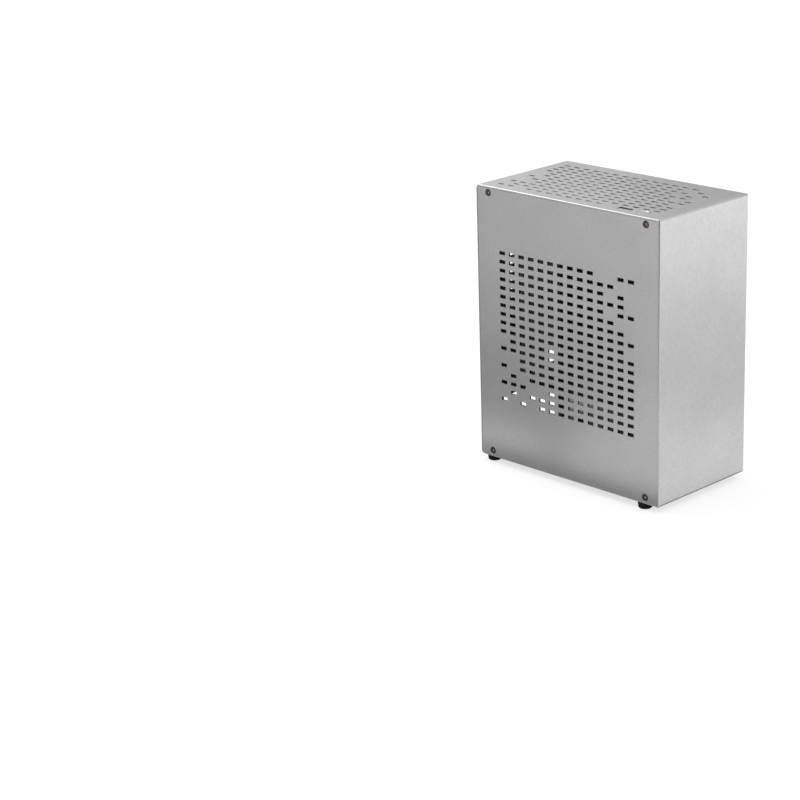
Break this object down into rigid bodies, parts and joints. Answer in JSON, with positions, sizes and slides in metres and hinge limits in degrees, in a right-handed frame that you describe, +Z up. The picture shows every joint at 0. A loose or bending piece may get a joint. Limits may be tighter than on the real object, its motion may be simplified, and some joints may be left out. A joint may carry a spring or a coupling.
{
  "type": "mini pc case",
  "caption": "Upright mini-ITX computer case: folded aluminium shell, slotted cover, top vents, power button and USB socket, on rubber feet.",
  "frame": {"origin": "on the ground plane under the middle of the case, at the underside of the feet", "axes": "+Z up, -Y towards the perforated cover, +X towards the plain outer wall, -X towards the rear wall with the power supply opening"},
  "size_m": [0.184, 0.1043, 0.2278],
  "materials": {
    "shell_aluminium": "bead-blasted, clear anodised",
    "cover_aluminium": "bead-blasted, clear anodised",
    "pan_aluminium": "plain sheet",
    "black_sheet": "matt black powder coat on steel sheet",
    "bright_steel": "nickel plated",
    "dark_screw": "dark nickel",
    "circuit_board": "solder mask on glass fibre board",
    "socket_plastic": "moulded, light grey",
    "switch_plastic": "moulded, black",
    "button_metal": "turned and polished",
    "foot_rubber": "matt black rubber"
  },
  "bodies": {
    "case": {"outer_shell": "shell_aluminium", "perforated_cover": "cover_aluminium", "back_cover": "cover_aluminium", "pillar_bottom_left": "bright_steel", "pillar_bottom_right": "bright_steel", "pillar_top_left": "bright_steel", "pillar_top_right": "bright_steel", "bottom_pan": "pan_aluminium", "motherboard_tray": "black_sheet", "tray_spacers": "bright_steel", "motherboard_standoffs": "dark_screw", "io_cover_plate": "pan_aluminium", "front_io_board": "circuit_board", "board_standoffs": "bright_steel", "board_screws": "dark_screw", "usb_socket_shell": "bright_steel", "usb_socket_insert": "socket_plastic", "switch_body": "switch_plastic", "foot_front_left": "foot_rubber", "foot_front_right": "foot_rubber", "foot_back_left": "foot_rubber", "foot_back_right": "foot_rubber", "foot_screws": "dark_screw", "front_cover_screws": "dark_screw", "back_cover_screws": "dark_screw"},
    "button": {"power_button": "button_metal", "switch_plunger": "switch_plastic"}
  },
  "joints": [
    {"name": "button_press", "type": "slide", "parent": "case", "child": "button", "axis": [0, 0, -1], "range_m": [0, 0.0008], "stiffness_N_per_m": 2500, "springref_m": -0.0004}
  ]
}
